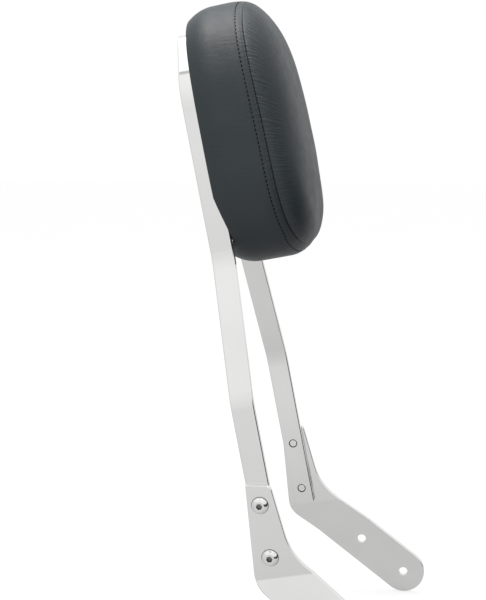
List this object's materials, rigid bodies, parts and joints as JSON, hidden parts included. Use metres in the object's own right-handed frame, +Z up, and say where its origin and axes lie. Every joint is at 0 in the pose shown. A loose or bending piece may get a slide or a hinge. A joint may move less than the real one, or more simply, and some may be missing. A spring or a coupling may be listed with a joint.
{
  "type": "sissy bar",
  "caption": "Motorcycle passenger backrest: a leaning chromed flat-bar hoop bolted to folded side plates with fender bolt holes, carrying an oval upholstered pad.",
  "frame": {"origin": "axis of the rear fender bolts, on the machine's centre plane", "axes": "+X to the machine's front, +Y to the rider's left along the fender bolts, +Z up as mounted"},
  "size_m": [0.2676, 0.2886, 0.707],
  "materials": {
    "chrome_plate": "mirror-bright chrome plate",
    "polished_bolts": "polished chrome bolts",
    "black_vinyl": "satin black grained vinyl",
    "zinc_fasteners": "zinc plate",
    "seat_foam": "open foam, covered",
    "base_board": "black-stained plywood"
  },
  "bodies": {
    "root": {"upright_hoop": "chrome_plate", "lower_cross_strap": "chrome_plate", "upper_cross_strap": "chrome_plate", "right_side_plate": "chrome_plate", "left_side_plate": "chrome_plate", "right_leg_bolts": "polished_bolts", "left_leg_bolts": "polished_bolts", "pad_side_band": "black_vinyl", "pad_front_panel": "black_vinyl", "lower_pad_washers": "zinc_fasteners", "lower_pad_lock_washers": "zinc_fasteners", "lower_pad_bolts": "zinc_fasteners", "lower_tee_nuts": "zinc_fasteners", "upper_pad_washers": "zinc_fasteners", "upper_pad_lock_washers": "zinc_fasteners", "upper_pad_bolts": "zinc_fasteners", "upper_tee_nuts": "zinc_fasteners", "pad_foam_core": "seat_foam", "pad_base_board": "base_board"}
  },
  "joints": []
}
